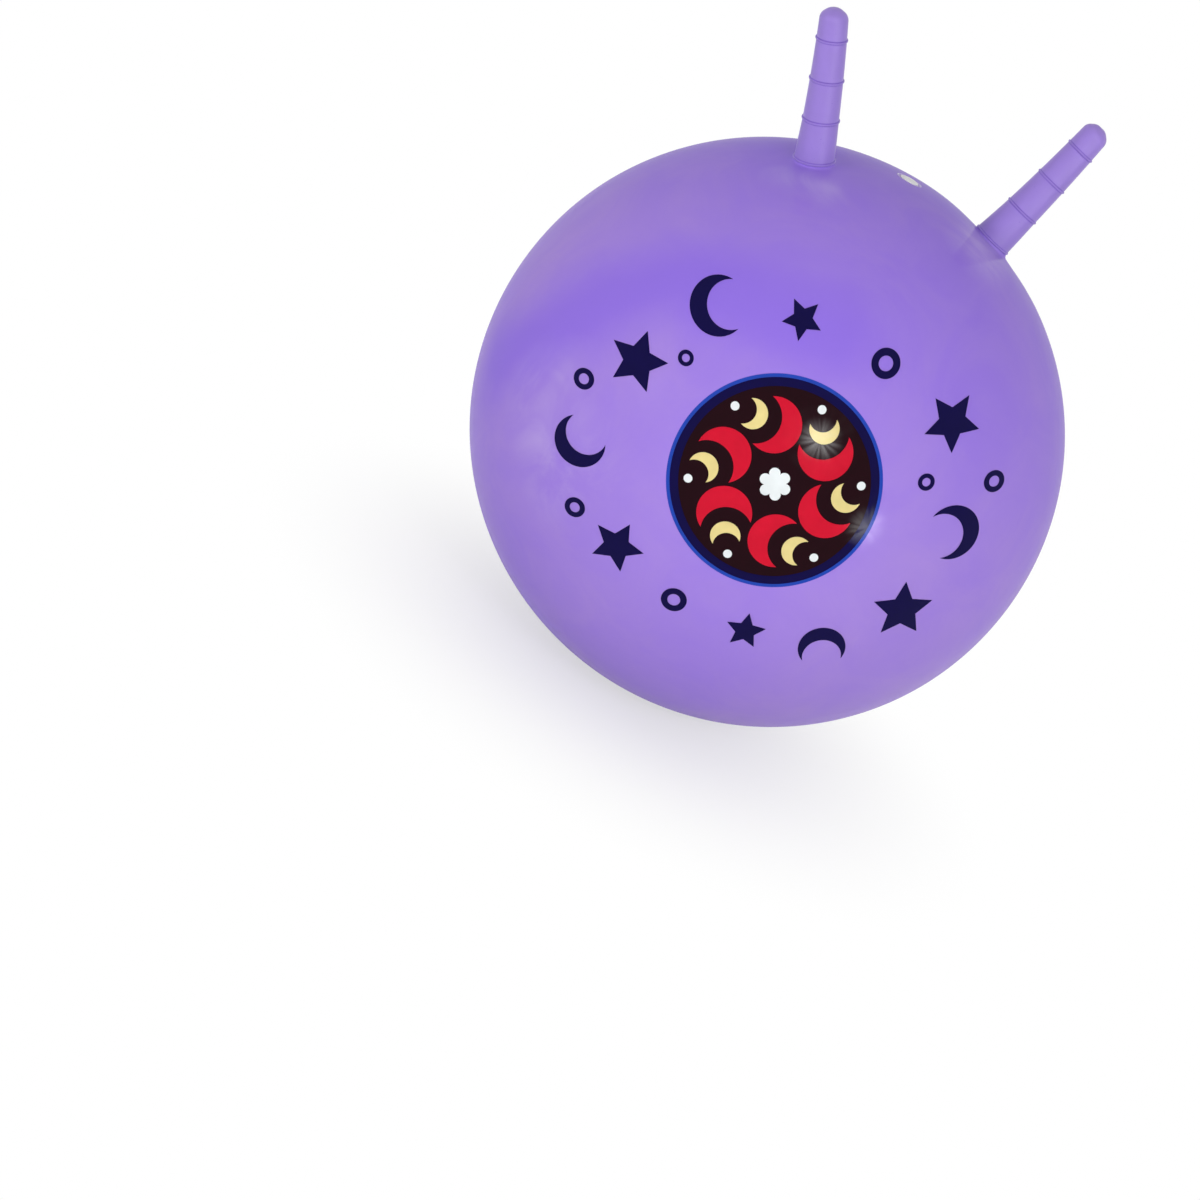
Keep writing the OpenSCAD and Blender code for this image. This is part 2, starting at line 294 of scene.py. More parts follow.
def corner(point, first, second, radius, steps):
    """A rounded corner between two edges, given by the angles of their outward normals in degrees."""
    ways = [np.array([math.cos(math.radians(a)), math.sin(math.radians(a))]) for a in (first, second)]
    middle = np.array(point) - radius * (ways[0] + ways[1]) / (1 + ways[0] @ ways[1])
    return arc(middle, radius, first, second, steps)


def round_top(edge, rise, slope, fillet, steps, shares):
    """The end of a profile: a filleted edge below a slope, then points of a dome at shares of its radius."""
    radius, height = edge
    dome_r = (radius ** 2 + rise ** 2) / (2 * rise)
    rim = 90 - math.degrees(math.asin(radius / dome_r))
    points = corner(edge, slope, rim, fillet, steps)
    for share in shares:
        at = radius * share
        points.append((at, height + rise - dome_r + math.sqrt(dome_r ** 2 - at ** 2)))
    return points


def beside(point, offsets):
    """Points that lie out and up from a point by offsets in millimetres."""
    return [(point[0] + out * MM, point[1] + up * MM) for out, up in offsets]


# Modelling by hand, in edit mode


def begin(primitive, name, **values):
    bpy.ops.object.select_all(action="DESELECT")
    primitive(**values)
    piece = bpy.context.object
    piece.name = piece.data.name = name
    bpy.ops.object.transform_apply(location=True, rotation=True, scale=True)
    return piece


def pick_only(piece):
    bpy.ops.object.select_all(action="DESELECT")
    piece.select_set(True)
    bpy.context.view_layer.objects.active = piece


def coordinates(piece):
    flat = np.empty(len(piece.data.vertices) * 3)
    piece.data.vertices.foreach_get("co", flat)
    return flat.reshape(-1, 3)


def move_to(piece, points):
    piece.data.vertices.foreach_set("co", np.asarray(points, float).ravel())
    piece.data.update()


def turned(piece, turn):
    """Turns a flat piece around Z."""
    c, s = math.cos(turn), math.sin(turn)
    move_to(piece, coordinates(piece) @ np.array([[c, s, 0], [-s, c, 0], [0, 0, 1]]))
    return piece


def enter_edit(piece, kind="VERT", pick="DESELECT"):
    """Starts edit mode with nothing of the piece selected, or all of it if pick is SELECT."""
    bpy.context.view_layer.objects.active = piece
    bpy.ops.object.mode_set(mode="EDIT")
    bpy.ops.mesh.select_mode(type=kind)
    bpy.ops.mesh.select_all(action=pick)


def leave_edit():
    bpy.ops.object.mode_set(mode="OBJECT")


def near_axis(local, radius):
    """Whether a point, given in a seat's own frame, belongs to the skin around that seat."""
    return math.hypot(local.x, local.y) < radius and local.z > -SEAT_DEPTH


def pick_faces(piece, test):
    """Selects the faces whose middles pass a test."""
    bpy.ops.mesh.select_all(action="DESELECT")
    mesh = bmesh.from_edit_mesh(piece.data)
    for face in mesh.faces:
        if test(face.calc_center_median()):
            face.select = True
    bmesh.update_edit_mesh(piece.data)


def pick_rim(piece, test):
    """Selects the open edges whose ends both pass a test."""
    bpy.ops.mesh.select_all(action="DESELECT")
    mesh = bmesh.from_edit_mesh(piece.data)
    for edge in mesh.edges:
        if len(edge.link_faces) < 2 and all(test(v.co) for v in edge.verts):
            edge.select = True
    bmesh.update_edit_mesh(piece.data)


def move_picked(piece, place):
    """Moves the selected points in code."""
    mesh = bmesh.from_edit_mesh(piece.data)
    picked = [v for v in mesh.verts if v.select]
    for vert, point in zip(picked, place(np.array([v.co for v in picked], float))):
        vert.co = point
    bmesh.update_edit_mesh(piece.data, loop_triangles=False)


def extrude_rim(piece, place):
    bpy.ops.mesh.extrude_edges_move()
    move_picked(piece, place)


def close_rim():
    """Closes the selected ring with a fan to one point."""
    bpy.ops.mesh.extrude_edges_move()
    bpy.ops.mesh.merge(type="CENTER")


def mend(piece, merge=MERGE):
    """Merges doubles and turns the faces outwards."""
    enter_edit(piece, pick="SELECT")
    bpy.ops.mesh.remove_doubles(threshold=merge)
    bpy.ops.mesh.normals_make_consistent(inside=False)
    leave_edit()


def smooth(piece, below):
    """Shades a piece smooth where its faces meet at less than an angle in degrees."""
    pick_only(piece)
    bpy.ops.object.shade_smooth_by_angle(angle=math.radians(below))


def turn_profile(name, profile, loop=False):
    """A round piece along Z: a circle primitive extruded and resized ring by ring.

    Both ends are closed, unless the profile is a loop that comes back to its start.
    """
    (radius, height), rest = profile[0], profile[1:]
    piece = begin(bpy.ops.mesh.primitive_circle_add, name, vertices=ROUND_POINTS, radius=radius,
                  location=(0, 0, height), fill_type="NOTHING")
    enter_edit(piece, pick="SELECT")
    if not loop:
        close_rim()
        pick_rim(piece, lambda co: True)
    for next_radius, next_height in rest:
        bpy.ops.mesh.extrude_edges_move(TRANSFORM_OT_translate={"value": (0, 0, next_height - height)})
        grow = next_radius / radius
        bpy.ops.transform.resize(value=(grow, grow, 1), center_override=(0, 0, next_height))
        radius, height = next_radius, next_height
    if not loop:
        close_rim()
    leave_edit()
    return piece


def set_in_place(piece, seat):
    """Moves a turned piece to its seat and smooths it."""
    piece.matrix_world = seat
    pick_only(piece)
    bpy.ops.object.transform_apply(location=True, rotation=True, scale=True)
    mend(piece)
    smooth(piece, below=50)


# Finishes


class Socket:
    """An output socket that takes part in plain sums."""

    def __init__(self, tree, output):
        self.tree, self.output = tree, output

    def joined(self, operation, first, second):
        return self.tree.add("ShaderNodeMath", {"operation": operation}, {0: first, 1: second})

    def __add__(self, other):
        return self.joined("ADD", self, other)

    def __sub__(self, other):
        return self.joined("SUBTRACT", self, other)

    def __rsub__(self, other):
        return self.joined("SUBTRACT", other, self)

    def __mul__(self, other):
        return self.joined("MULTIPLY", self, other)

    __radd__, __rmul__ = __add__, __mul__

    def most(self, other):
        return self.joined("MAXIMUM", self, other)

    def least(self, other):
        return self.joined("MINIMUM", self, other)


class Tree:
    """A node tree that any node is added to by one method."""

    def __init__(self, nodes_of):
        nodes_of.use_nodes = True
        self.nodes, self.links = nodes_of.node_tree.nodes, nodes_of.node_tree.links
        self.nodes.clear()

    def add(self, kind, settings=None, values=None, out=0):
        """Adds a node, sets it, fills or links its sockets, and gives one of its outputs."""
        node = self.nodes.new(kind)
        for name, value in (settings or {}).items():
            setattr(node, name, value)
        for name, value in (values or {}).items():
            if isinstance(value, Socket):
                self.links.new(value.output, node.inputs[name])
            elif isinstance(value, tuple) and len(value) == 3 and node.inputs[name].type == "RGBA":
                node.inputs[name].default_value = (*value, 1)
            else:
                node.inputs[name].default_value = value
        return None if out is None else Socket(self, node.outputs[out])

    def here(self):
        return self.add("ShaderNodeTexCoord", out="Object")

    def noise(self, scale, detail=2.0, roughness=0.5, distortion=0.0, at=None, out=0):
        values = {"Vector": at or self.here(), "Scale": scale, "Detail": detail,
                  "Roughness": roughness, "Distortion": distortion}
        return self.add("ShaderNodeTexNoise", None, values, out)

    def vector(self, operation, *values, out="Vector", **named):
        node_values = {**dict(enumerate(values)), **named}
        return self.add("ShaderNodeVectorMath", {"operation": operation}, node_values, out)

    def size_of(self, vector):
        return self.vector("LENGTH", vector, out="Value")

    def mix(self, share, a, b):
        return self.add("ShaderNodeMix", {"data_type": "RGBA"}, {0: share, 6: a, 7: b}, out=2)

    def ramp(self, value, low, high, to_low=0.0, to_high=1.0, kind="SMOOTHSTEP"):
        ends = {"From Min": low, "From Max": high, "To Min": to_low, "To Max": to_high}
        settings = {"interpolation_type": kind, "clamp": True}
        return self.add("ShaderNodeMapRange", settings, {"Value": value, **ends})

    def streak(self, path, near, far, sway=0.05):
        """One along a path of points, fading out to nothing between two distances, with a clouded edge."""
        wander = self.noise(scale=11.0, detail=3.0, out="Color")
        here = self.vector("MULTIPLY_ADD", wander, (sway,) * 3, self.here())
        here = self.vector("SUBTRACT", here, (sway / 2,) * 3)
        streak = None
        for start, end in zip(path, path[1:]):
            along = Vector(end) - Vector(start)
            off = self.vector("SUBTRACT", here, start)
            done = self.vector("DOT_PRODUCT", off, tuple(along / along.length_squared), out="Value")
            done = self.ramp(done, 0.0, 1.0, kind="LINEAR")
            nearest = self.vector("SCALE", tuple(along), Scale=done)
            away = self.size_of(self.vector("SUBTRACT", off, nearest))
            share = self.ramp(away, near, far, 1.0, 0.0)
            streak = streak.most(share) if streak else share
        return streak

    def bump(self, height, strength, distance, **normal):
        values = {"Height": height, "Strength": strength, "Distance": distance, **normal}
        return self.add("ShaderNodeBump", None, values)

    def swell(self):
        """The soft unevenness of the blown skin, which the ink on it follows."""
        return self.bump(self.noise(scale=9.0, detail=1.0, roughness=0.4), strength=0.2, distance=0.004)

    def surface(self, **values):
        named = {name.replace("_", " "): value for name, value in values.items()}
        shader = self.add("ShaderNodeBsdfPrincipled", None, named, out="BSDF")
        self.add("ShaderNodeOutputMaterial", None, {"Surface": shader}, out=None)


def finish(name, make, *colours):
    """Makes a finish the first time that it is asked for."""
    material = bpy.data.materials.get(name)
    if not material:
        material = bpy.data.materials.new(name)
        make(Tree(material), *map(tuple, colours))
    return material


def paint(piece, material):
    piece.data.materials.clear()
    piece.data.materials.append(material)


def toned(shade, share):
    """A colour made darker or lighter."""
    return tuple(min(1, c * share) for c in shade)


# Middle lines of a painted dark reflection, of a painted pale haze and of painted highlights at the foot of
# each horn on the ball's PVC, and the heights over which its colour deepens towards the crown, in metres

PAINTED_DARK_REFLECTION = ((-0.226, -0.014, 0.195), (-0.222, -0.052, 0.242), (-0.165, -0.105, 0.338),
               (-0.068, -0.160, 0.367))
PAINTED_PALE_HAZE = ((-0.206, -0.094, 0.214), (-0.190, -0.130, 0.178))
LEFT_FOOT_HIGHLIGHT = ((-0.103, -0.026, 0.422), (-0.086, -0.040, 0.426))
RIGHT_FOOT_HIGHLIGHT = ((0.046, -0.068, 0.432), (0.060, -0.030, 0.435))
CROWN_DEEPENING = (0.26, 0.43)


def soft_pvc(tree, light, deep, painted_light_tint):
    """Glossy blown PVC: deeper towards the crown, cloudy, with a faint orange peel; painted shade in a dark
    reflection over the upper left, and painted light in a pale haze at the left and in highlights at the foot
    of each horn.
    """
    height = tree.add("ShaderNodeSeparateXYZ", None, {"Vector": tree.here()}, out="Z")
    # The colour deepens towards the crown between these heights.
    below_crown = tree.ramp(height, *CROWN_DEEPENING, 1.0, 0.0)
    cloud = tree.ramp(tree.noise(scale=4.5), 0.32, 0.68)
    smear = tree.ramp(tree.noise(scale=13.0, detail=4.0, roughness=0.62, distortion=1.2), 0.3, 0.75)
    fine = tree.noise(scale=42.0, roughness=0.6)
    peel = tree.noise(scale=260.0, detail=1.0, roughness=0.4)
    # Painted shade: a dark reflection of the surroundings, painted along a line over the upper left of the
    # ball.
    thick = tree.streak(PAINTED_DARK_REFLECTION, near=0.006, far=0.060)
    # Painted light: highlights painted around the foot of each horn.
    foot_highlights = tree.streak(LEFT_FOOT_HIGHLIGHT, near=0.0, far=0.032) + tree.streak(RIGHT_FOOT_HIGHLIGHT, near=0.0, far=0.032)
    # The pale share is painted light: a haze painted at the left of the ball and the highlights at the foot
    # of each horn.
    pale = tree.streak(PAINTED_PALE_HAZE, near=0.0, far=0.058) * smear * 0.32 + foot_highlights * (smear * 0.3 + 0.15)
    share = (below_crown * 0.35 + cloud * 0.3 + smear * 0.25 + fine * 0.1) * (1 - thick * 0.95)
    tree.surface(
        Base_Color=tree.mix(pale, tree.mix(share, deep, light), painted_light_tint),
        Roughness=smear * 0.1 + 0.34,
        Normal=tree.bump(peel, strength=0.05, distance=0.0003, Normal=tree.swell()),
        Specular_IOR_Level=0.0,
        Coat_Weight=0.28,
        Coat_Roughness=0.06,
    )


def satin_pvc(tree, light, deep):
    """Satin PVC of the horns: fine grain, tiny specks and painted shade in the creases beside the beads."""
    grain = tree.noise(scale=1500.0, roughness=0.6)
    patch = tree.noise(scale=45.0, detail=3.0, roughness=0.6)
    specks = tree.ramp(tree.noise(scale=700.0, detail=1.0), 0.72, 0.78)
    # Painted shade: the colour is darkened in the creases beside the beads.
    crease = tree.add("ShaderNodeAttribute", {"attribute_name": "crease"}, out="Fac")
    tint = tree.mix(specks * 0.3, tree.mix(patch, toned(light, 0.93), toned(light, 1.05)), deep)
    tree.surface(
        Base_Color=tree.mix(crease * 0.9, tint, deep),
        Roughness=grain * 0.12 + patch * 0.08 + 0.28,
        Normal=tree.bump(grain, strength=0.2, distance=0.0001),
        Specular_IOR_Level=0.3,
    )


def moulded_white(tree, white):
    """Waxy white polyethylene with a faint speckle."""
    speck = tree.noise(scale=600.0)
    tree.surface(
        Base_Color=tree.mix(tree.noise(scale=120.0), toned(white, 0.93), white),
        Roughness=speck * 0.12 + 0.38,
        Normal=tree.bump(speck, strength=0.15, distance=0.0001),
        Specular_IOR_Level=0.3,
    )


def gloss_ink(tree, shade):
    """Glossy screen ink, a little uneven in density."""
    density = tree.noise(scale=70.0, roughness=0.6)
    tree.surface(
        Base_Color=tree.mix(density, toned(shade, 0.85), toned(shade, 1.1)),
        Roughness=density * 0.08 + 0.28,
        Normal=tree.swell(),
        Specular_IOR_Level=0.0,
        Coat_Weight=0.15,
        Coat_Roughness=0.05,
    )


# The finer skin around the necks and the valve

NECK_REACH = 3.1  # in base radii of the horn
HOLE_REACH = 1.25  # in radii of the valve's flange
CUT_SHARE = 1.08  # of the reach, within which the sphere is cut away
ROUGH_SHARE = 1.4  # of the reach, within which the cut's rough rim lies
RIM_SHARE = 1.02  # of the reach, within which the rim lies once it is round
SKIRT_RINGS, SKIRT_SPREAD = 14, 1.5  # down a neck's skirt, and how they crowd towards its fillet
FLARE_RINGS = 10  # up a neck's fillet
HOLE_RINGS, HOLE_SPREAD = 9, 1.6  # towards the valve's hole, and how they crowd there
FLARE_TOP, LID_TOP = -0.4, 0.2  # heights under the base rib, in bead radii
LID_SHARES = (0.97, 0.9)  # of the horn's base radius, for the rings of the neck's lid

# The hole for the valve seat and the hollow behind it

SEAT_PLAY = 0.04 * MM  # from the seat's radius out to the hole and in to the seat itself
HOLE_LIP = 0.3 * MM  # radius of the round lip
HOLE_WALL = 1.45 * MM  # depth of the hole
FLANGE_ROOM = 0.6 * MM  # around the seat's flange
HOLLOW_TOP, HOLLOW_FLOOR = 1.6 * MM, 19 * MM  # depths
HOLLOW_FOOT = 4 * MM  # radius of the hollow's flat floor


class HopperBallAddSkin(bpy.types.Operator):
    """Add the ball's skin, drawn in around the necks and pressed flat on the floor"""

    bl_idname = "hopper_ball.add_skin"
    bl_label = "Ball skin"
    bl_options = {"REGISTER", "UNDO"}

    def execute(self, context):
        sizes = context.scene.hopper_ball
        horn, valve, shades, shape = sizes.horn, sizes.valve, sizes.finish, SkinShape(sizes)
        piece = begin(bpy.ops.mesh.primitive_uv_sphere_add, "soft_skin", segments=SKIN_POINTS,
                      ring_count=SKIN_POINTS // 2, radius=shape.half, location=tuple(shape.centre),
                      rotation=(-valve.back, 0, 0))
        necks = [(shape.horn_seat(side, horn), NECK_REACH * horn.base_radius) for side in (LEFT, RIGHT)]
        hole = (shape.valve_seat(valve), HOLE_REACH * valve.flange_radius)
        enter_edit(piece, "FACE")
        for seat, reach in (*necks, hole):
            back = seat.inverted()
            pick_faces(piece, lambda co: near_axis(back @ co, reach * CUT_SHARE))
            bpy.ops.mesh.delete(type="FACE")
            pick_rim(piece, lambda co: near_axis(back @ co, reach * ROUGH_SHARE))
            move_picked(piece, shape.ring(seat, reach))
        leave_edit()
        move_to(piece, shape.drape(coordinates(piece)))
        enter_edit(piece, "EDGE")
        for seat, reach in necks:
            self.draw_neck(piece, shape, horn, seat, reach)
        self.sink_hole(piece, shape, valve, *hole)
        leave_edit()
        mend(piece)
        smooth(piece, below=35)
        paint(piece, finish("soft_pvc", soft_pvc, shades.purple, shades.purple_deep, shades.purple_painted_light))
        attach(piece, "ball")
        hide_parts("ball_skin")
        return {"FINISHED"}

    def draw_neck(self, piece, shape, horn, seat, reach):
        """Ring by ring from the skin into the flare, then shut under the horn's base rib."""
        back = seat.inverted()
        pick_rim(piece, lambda co: near_axis(back @ co, reach * RIM_SHARE))
        top, lid = FLARE_TOP * horn.bead_radius, LID_TOP * horn.bead_radius

        def flare(turn):
            """Radius and height of the fillet at a turn."""
            out = horn.flare_radius * (math.cos(horn.flare_start) - math.cos(turn))
            down = horn.flare_radius * (math.sin(turn) - math.sin(horn.flare_start))
            return horn.base_radius + out, top - down

        skirt_r, skirt_z = flare(horn.flare_turn)
        for i in range(1, SKIRT_RINGS + 1):
            radius = skirt_r + (reach - skirt_r) * (1 - i / SKIRT_RINGS) ** SKIRT_SPREAD
            fall = skirt_z - (radius - skirt_r) * math.tan(horn.skirt_slope)
            extrude_rim(piece, shape.ring(seat, radius, floor=fall))
        for i in range(1, FLARE_RINGS + 1):
            radius, fall = flare(horn.flare_turn + (horn.flare_start - horn.flare_turn) * i / FLARE_RINGS)
            extrude_rim(piece, shape.ring(seat, radius, floor=fall))
        for share in LID_SHARES:
            extrude_rim(piece, shape.ring(seat, horn.base_radius * share, lid))
        close_rim()

    def sink_hole(self, piece, shape, valve, seat, reach):
        """The round hole for the valve seat, with a soft lip, and the hollow behind it."""
        back = seat.inverted()
        pick_rim(piece, lambda co: near_axis(back @ co, reach * RIM_SHARE))
        edge = valve.seat_radius + SEAT_PLAY
        for i in range(1, HOLE_RINGS + 1):
            share = (1 - i / HOLE_RINGS) ** HOLE_SPREAD
            extrude_rim(piece, shape.ring(seat, edge + HOLE_LIP + (reach - edge - HOLE_LIP) * share))
        fall = shape.crown_r - math.sqrt(shape.crown_r ** 2 - (edge + HOLE_LIP) ** 2)
        for turn in map(math.radians, (30, 60, 90)):
            radius, down = edge + HOLE_LIP * (1 - math.sin(turn)), HOLE_LIP * (1 - math.cos(turn))
            extrude_rim(piece, shape.ring(seat, radius, -fall - down))
        wide = valve.flange_radius + FLANGE_ROOM
        for radius, down in ((edge, HOLE_WALL), (wide, HOLLOW_TOP), (wide, HOLLOW_FLOOR),
                             (HOLLOW_FOOT, HOLLOW_FLOOR)):
            extrude_rim(piece, shape.ring(seat, radius, -down))
        close_rim()


# Heights of a horn's points from bead to bead, as shares of the way: close together where the creases are

WALL_SHARES = (0.006, 0.02, 0.05, 0.12, 0.25, 0.4, 0.6, 0.75, 0.88, 0.95, 0.98, 0.994)

# Small shapes of a horn, in bead radii where nothing else is said

HORN_FOOT = ((0.9, -0.7), (0.96, -0.9))  # points under the base rib, in base radii out and bead radii up
BEAD_SINK = 0.1  # depth of a bead's middle in the wall
BEAD_TURN, BASE_TURN = 80, 82  # degrees from a bead's outermost point to its end, and under the base rib
SHOULDER_START = 4.4  # distance below the shoulder at which the wall ends
SHOULDER_FILLET, TIP_FILLET = 7.5, 9
TOP_RISE = 0.12  # in tip radii
TOP_SHARES = (0.7, 0.5, 0.3, 0.12)  # of the tip's radius, for the points of the round top
CREASE_WIDTH = 0.36


class HopperBallAddHorns(bpy.types.Operator):
    """Add the two ribbed horns, which bend above their base ribs"""

    bl_idname = "hopper_ball.add_horns"
    bl_label = "Horns"
    bl_options = {"REGISTER", "UNDO"}

    def execute(self, context):
        sizes = context.scene.hopper_ball
        horn, shades, shape = sizes.horn, sizes.finish, SkinShape(sizes)
        satin = finish("satin_pvc", satin_pvc, shades.horn_purple, shades.shade_and_speck_purple)
        for side, name in ((LEFT, "left"), (RIGHT, "right")):
            piece = turn_profile(name + "_handle", self.profile(horn))
            self.mark_creases(piece, horn)
            points = coordinates(piece)
            height = np.maximum(points[:, 2], 0)
            points[:, 0] -= horn.bow / 2 * height * (height - horn.bow_back)
            move_to(piece, points)
            seat = shape.horn_seat(side, horn)
            set_in_place(piece, seat)
            paint(piece, satin)
            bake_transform(piece)
            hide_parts(name + "_horn")
        return {"FINISHED"}

    def profile(self, horn):
        """From under the base rib up over the ribs and the shoulder to the round top."""
        shoulder = horn.rib_count * horn.rib_pitch + horn.shoulder_rise
        tip, bead = shoulder + horn.tip_rise, horn.bead_radius

        def wall(z):
            if z < horn.rib_pitch:
                return horn.base_radius + (horn.low_radius - horn.base_radius) * z / horn.rib_pitch
            share = (z - horn.rib_pitch) / (shoulder - horn.rib_pitch)
            return horn.low_radius + (horn.top_radius - horn.low_radius) * share

        points = [(horn.base_radius * out, up * bead) for out, up in HORN_FOOT]
        for rib in range(horn.rib_count + 1):
            z = rib * horn.rib_pitch
            start = -BEAD_TURN if rib else -BASE_TURN
            points += arc((wall(z) - BEAD_SINK * bead, z), bead, start, BEAD_TURN, steps=12)
            top = shoulder - SHOULDER_START * bead if rib == horn.rib_count else z + horn.rib_pitch - bead
            for share in WALL_SHARES:
                at = z + bead + (top - z - bead) * share
                points.append((wall(at), at))
        taper = math.degrees(math.atan2(horn.low_radius - horn.top_radius, shoulder - horn.rib_pitch))
        slope = 90 - math.degrees(math.atan2(horn.tip_rise, horn.top_radius - horn.tip_radius))
        points += corner((horn.top_radius, shoulder), taper, slope, SHOULDER_FILLET * bead, steps=11)
        return points + round_top((horn.tip_radius, tip), TOP_RISE * horn.tip_radius, slope,
                                  TIP_FILLET * bead, steps=8, shares=TOP_SHARES)

    def mark_creases(self, piece, horn):
        """Keeps on each point how near it lies to the crease beside a bead, as the mask of the painted crease
        shade.
        """
        height = coordinates(piece)[:, 2]
        ribs = np.arange(horn.rib_count + 1) * horn.rib_pitch
        off = np.abs(np.abs(height[:, None] - ribs) - horn.bead_radius).min(1)
        crease = piece.data.attributes.new("crease", "FLOAT", "POINT")
        crease.data.foreach_set("value", np.exp(-(off / (CREASE_WIDTH * horn.bead_radius)) ** 2))


# Rounded corners of the valve: how far out and up their points lie from the sharp corner, in millimetres

SEAT_LIP = ((0, -0.3), (-0.04, -0.12), (-0.14, -0.02), (-0.3, 0.02))
POCKET_RIM = ((0.2, 0.02), (0.02, -0.05), (-0.15, -0.2), (-0.35, -0.42))
POCKET_FLOOR = ((0.35, 0.5), (0.12, 0.2), (-0.1, 0.05), (-0.4, 0))
BORE_MOUTH = ((0.35, 0), (0.1, -0.1), (0, -0.35))
RING_BOTTOM = ((-0.15, 0.02), (0, 0.2))
RING_TOP = ((0, -0.2), (-0.15, -0.02))
HEAD_BOTTOM = ((-0.5, 0), (-0.12, 0.1), (0, 0.4), (0, 1.0))

# Heights and gaps of the valve

LIP_Z = -0.25 * MM  # of the seat's lip
FLANGE_Z = -1.75 * MM  # of the top of the seat's flange
HEAD_GAP = 0.57 * MM  # between the plug's head and the pocket
HEAD_LIFT = 0.1 * MM  # of the head over the pocket's floor
HEAD_FILLET = 0.5 * MM
FOOT_BEVEL = 0.1 * MM
PLUG_PLAY = 0.05 * MM  # between the plug's rings and the bore

# Shares of the plug: core in ring radii, foot in core radii, and the rest in plug lengths

CORE_SHARE = 0.82
FOOT_SHARES = (0.5, 0.7)
TAPER_SHARE = 0.8
RINGED_SHARE = 0.75
RING_HEIGHT = 0.09
DOME_SHARES = (0.86, 0.75, 0.62, 0.48, 0.34, 0.2, 0.08)  # of the head's radius, for the points of its dome


class HopperBallAddValve(bpy.types.Operator):
    """Add the valve seat and its plug"""

    bl_idname = "hopper_ball.add_valve"
    bl_label = "Valve"
    bl_options = {"REGISTER", "UNDO"}

    def execute(self, context):
        sizes = context.scene.hopper_ball
        valve, shades = sizes.valve, sizes.finish
        place = SkinShape(sizes).valve_seat(valve)
        seat = turn_profile("valve_pocket", self.seat_profile(valve), loop=True)
        set_in_place(seat, place)
        # Painted shade: the whole seat takes the dark shade purple, darker still in its specks, for the
        # shadowed pocket around the plug.
        paint(seat, finish("seat_pvc", satin_pvc, shades.shade_and_speck_purple, toned(shades.shade_and_speck_purple, 0.7)))
        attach(seat, "ball")
        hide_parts("valve_seat")
        plug = turn_profile("air_plug", self.plug_profile(valve))
        set_in_place(plug, place)
        paint(plug, finish("moulded_white", moulded_white, shades.plug_white))
        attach(plug, "plug")
        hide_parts("valve_plug")
        return {"FINISHED"}

    def seat_profile(self, valve):
        """Around the boss and the flange, over the lip, down the pocket and through the bore."""
        edge, bore = valve.seat_radius - SEAT_PLAY, valve.bore_radius
        floor, floor_r = -valve.pocket_floor, valve.head_radius + HEAD_GAP
        boss_r, boss_z = (valve.seat_radius + bore) / 2, floor - valve.boss_depth
        flange_r, flange_bottom = valve.flange_radius, FLANGE_Z - valve.flange_thickness
        points = [(bore, boss_z), (boss_r, boss_z), (boss_r, flange_bottom), (flange_r, flange_bottom),
                  (flange_r, FLANGE_Z), (edge, FLANGE_Z)]
        points += beside((edge, LIP_Z), SEAT_LIP) + beside((valve.pocket_radius, LIP_Z), POCKET_RIM)
        points += beside((floor_r, floor), POCKET_FLOOR) + beside((bore, floor), BORE_MOUTH)
        return points + points[:1]

    def plug_profile(self, valve):
        """From the tapered foot up over the holding rings to the round head."""
        head, head_z = valve.head_radius, HEAD_LIFT - valve.pocket_floor
        ring = valve.bore_radius - PLUG_PLAY
        core, thick = ring * CORE_SHARE, valve.plug_length * RING_HEIGHT
        foot, taper = head_z - valve.plug_length, head_z - valve.plug_length * TAPER_SHARE
        inner, outer = (core * share for share in FOOT_SHARES)
        points = [(inner, foot), (outer, foot + FOOT_BEVEL), (core, taper)]
        for i in range(valve.ring_count, 0, -1):
            z = head_z - valve.plug_length * RINGED_SHARE * i / valve.ring_count
            points += [(core, z), *beside((ring, z), RING_BOTTOM),
                       *beside((ring, z + thick), RING_TOP), (core, z + thick)]
        points += [(core, head_z), *beside((head, head_z), HEAD_BOTTOM)]
        return points + round_top((head, head_z + valve.head_thickness), valve.dome, 0, HEAD_FILLET,
                                  steps=5, shares=DOME_SHARES)


# Scattered motifs of the print: place across, place up and size in halves of the field, and turn in degrees

STARS = ((-0.80, 0.20, 0.175, 10), (0.60, 0.76, 0.175, -8), (0.84, -0.34, 0.185, 24), (-0.47, -0.80, 0.16, 0),
         (0.24, -0.87, 0.12, 18), (-0.24, 0.87, 0.12, -20))
MOONS = ((-0.60, 0.70, 0.165, 35), (0.86, 0.20, 0.165, -140), (-0.85, -0.38, 0.15, 80),
         (0.60, -0.76, 0.14, -60))
HOOPS = ((0.19, 0.88, 0.085, 0), (-0.97, -0.06, 0.06, 0), (0.93, 0.56, 0.065, 0), (-0.12, -0.91, 0.075, 0),
         (-0.72, -0.74, 0.06, 0), (0.62, 0.40, 0.05, 0), (-0.62, 0.36, 0.045, 0))
STAR_SPIKES = 5
STAR_WAIST = 0.48
MOON_CUT = (0.42, 0)
MOON_BITE = 0.82
HOOP_BORE = 0.5

# Sickles of the pinwheel in shares of its disc: place, radius, offset of the cut, and its share of the radius

BLADE = ((0.6, 0), 0.285, (0.085, 0.185), 0.94)
SEED = ((0.715, 0.215), 0.155, (0.045, 0.1), 0.92)

# Dots of the pinwheel, in shares of its disc and of the turn between two blades, and the flower, in hub radii

DOT_PLACE, DOT_RADIUS, DOT_TURN = 0.885, 0.045, 0.44
PETAL_PLACE, PETAL_RADIUS, FLOWER_CORE = 0.66, 0.34, 0.55

# Layers of ink

